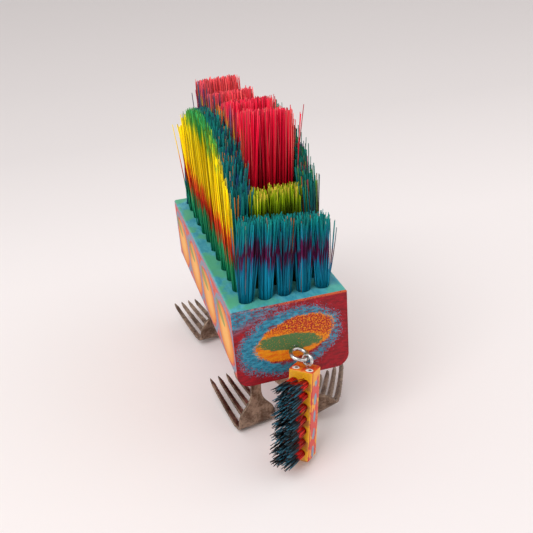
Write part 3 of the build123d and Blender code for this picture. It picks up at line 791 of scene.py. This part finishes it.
def painted_dot(name, centre, axes, size, material):
    """A low dome of dried paint with a slightly uneven edge. size is its radius and height."""
    rings, sides = DOT_RINGS, DOT_SIDES
    radius, height = size
    across, back, up = axes
    edge = [1 + 0.035 * math.sin(3 * a + radius) + 0.025 * math.sin(7 * a + 1)
            for a in (2 * math.pi * s / sides for s in range(sides))]
    verts = [centre + up * height * MILLIMETRE]
    for ring in range(1, rings + 1):
        share = ring / rings
        lift = height * math.sqrt(1 - share ** 2) - DOT_EDGE_SINK * (ring == rings)
        for s in range(sides):
            angle = 2 * math.pi * s / sides
            reach = radius * share * edge[s]
            verts.append(centre + (
                across * math.cos(angle) * reach + back * math.sin(angle) * reach
                + up * lift) * MILLIMETRE)
    faces = [(0, 1 + s, 1 + (s + 1) % sides) for s in range(sides)]
    for ring in range(rings - 1):
        start = 1 + ring * sides
        for s in range(sides):
            after = (s + 1) % sides
            faces.append((start + s, start + sides + s, start + sides + after, start + after))
    faces.append(tuple(1 + (rings - 1) * sides + s for s in reversed(range(sides))))
    mesh = bpy.data.meshes.new(name)
    mesh.from_pydata(verts, [], faces)
    mesh.shade_smooth()
    mesh.materials.append(material)
    dot = bpy.data.objects.new(name, mesh)
    bpy.context.collection.objects.link(dot)
    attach(dot, "head")


def make_head():
    """The block's paint, its two painted eyes and its bristles."""
    origin, axes = head_frame()
    set_material(frame["nodes"]["head_block"], head_paint(origin, axes))
    white = dot_paint("eye_white", (0.86, 0.85, 0.82), 0.35)
    black = dot_paint("eye_black", (0.012, 0.010, 0.010), 0.3)
    shift_x, shift_y, shift_z = PUPIL_SHIFT
    for side, x in EYE_ACROSS:
        eye = head_point(x, EYE_BACK, 0.0)
        pupil = head_point(x + shift_x, EYE_BACK + shift_y, shift_z)
        painted_dot(f"eye_white_{side}", eye, axes, EYE_WHITE_SIZE, white)
        painted_dot(f"eye_pupil_{side}", pupil, axes, PUPIL_SIZE, black)
    make_head_bristles()


# ---- forks
def softened_copy(node, name, wear):
    """A copy of a node's mesh with its sharp edges worn round."""
    voxel, passes = wear
    copy = bpy.data.objects.new(name, frame["nodes"][node].data.copy())
    bpy.context.collection.objects.link(copy)
    remesh = copy.modifiers.new("remesh", "REMESH")
    remesh.mode = "VOXEL"
    remesh.voxel_size = voxel * MILLIMETRE
    smooth = copy.modifiers.new("smooth", "SMOOTH")
    smooth.factor = 0.5
    smooth.iterations = passes
    graph = bpy.context.evaluated_depsgraph_get()
    mesh = bpy.data.meshes.new_from_object(copy.evaluated_get(graph))
    copy.modifiers.clear()
    copy.data = mesh
    mesh.shade_smooth()
    return copy


def make_forks():
    patina = metal(
        "fork_patina", dark=(0.12, 0.075, 0.052), light=(0.40, 0.29, 0.215),
        roughness=0.36, scale=0.10, bump=0.25)
    for node in ("front_left_fork", "front_right_fork", "rear_left_fork", "rear_right_fork"):
        fork = softened_copy(node, f"worn_{node}", FORK_WEAR)
        set_material(fork, patina)
        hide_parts(node)
        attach(fork, "root")


# ---- screw eyes and staples
def make_wire():
    chrome = metal(
        "plated_wire", dark=(0.42, 0.42, 0.41), light=(0.74, 0.74, 0.73),
        roughness=0.17, scale=0.5, bump=0.05)
    for node, body in (("body_screw_eye", "root"), ("head_screw_eye", "head_link")):
        eye = softened_copy(node, f"bright_{node}", WIRE_WEAR)
        set_material(eye, chrome)
        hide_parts(node)
        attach(eye, body)
    steel = metal(
        "staple_wire", dark=(0.35, 0.35, 0.34), light=(0.6, 0.6, 0.6),
        roughness=0.4, scale=0.4, bump=0.1)
    for node in ("body_tuft_staples", "head_tuft_staples"):
        set_material(frame["nodes"][node], steel)


# ---- stage
def make_floor():
    p = Paint("pale_floor", roughness=0.8)
    _, (_, y, _) = p.local((0, 0, 0))
    # painted shade: the floor's colour is painted darker towards the back
    fade = [
        (distance / FLOOR_FADE_END, tuple(c * share for c in FLOOR_NEAR))
        for distance, share in FLOOR_FADE]
    p.finish(p.ramp(p.times(y, 1 / FLOOR_FADE_END), fade))
    size = FLOOR_HALF_SIZE_M
    mesh = bpy.data.meshes.new("floor")
    corners = [(-size, -size, 0), (size, -size, 0), (size, size, 0), (-size, size, 0)]
    mesh.from_pydata(corners, [], [(0, 1, 2, 3)])
    mesh.materials.append(p.material)
    floor = bpy.data.objects.new("floor", mesh)
    bpy.context.collection.objects.link(floor)


def make_light():
    world = bpy.data.worlds.new("studio")
    world.use_nodes = True
    sky = world.node_tree.nodes["Background"].inputs
    sky["Color"].default_value = SKY_COLOUR
    sky["Strength"].default_value = SKY_STRENGTH
    bpy.context.scene.world = world
    bpy.context.scene.view_settings.view_transform = "Standard"
    for name, place, size, power in SOFTBOXES:
        softbox(name, place, size, power)


def softbox(name, place, size, power):
    lamp = bpy.data.lights.new(name, "AREA")
    lamp.shape = "SQUARE"
    lamp.size = size
    lamp.energy = power
    light = bpy.data.objects.new(name, lamp)
    light.location = place
    aim = Vector(SOFTBOX_AIM_M) - Vector(place)
    light.rotation_euler = aim.to_track_quat("-Z", "Y").to_euler()
    bpy.context.collection.objects.link(light)


def make_camera():
    azimuth, elevation, roll = (
        math.radians(a) for a in (CAMERA_AZIMUTH, CAMERA_ELEVATION, CAMERA_ROLL))
    back = Vector((
        math.sin(azimuth) * math.cos(elevation),
        -math.cos(azimuth) * math.cos(elevation),
        math.sin(elevation)))
    level = Vector((math.cos(azimuth), math.sin(azimuth), 0))
    upright = back.cross(level)
    right = level * math.cos(roll) + upright * math.sin(roll)
    up = upright * math.cos(roll) - level * math.sin(roll)
    place = FRONT_TOP + Vector(CAMERA_FROM_FRONT_TOP) * MILLIMETRE
    turned = Matrix((right, up, back)).transposed().to_4x4()
    data = bpy.data.cameras.new("camera")
    data.lens = CAMERA_LENS
    camera = bpy.data.objects.new("camera", data)
    camera.matrix_world = Matrix.Translation(place) @ turned
    bpy.context.collection.objects.link(camera)
    bpy.context.scene.camera = camera


make_camera()
make_floor()
make_light()
set_material(frame["nodes"]["body_block"], block_paint())
make_body_bristles()
make_head()
make_forks()
make_wire()
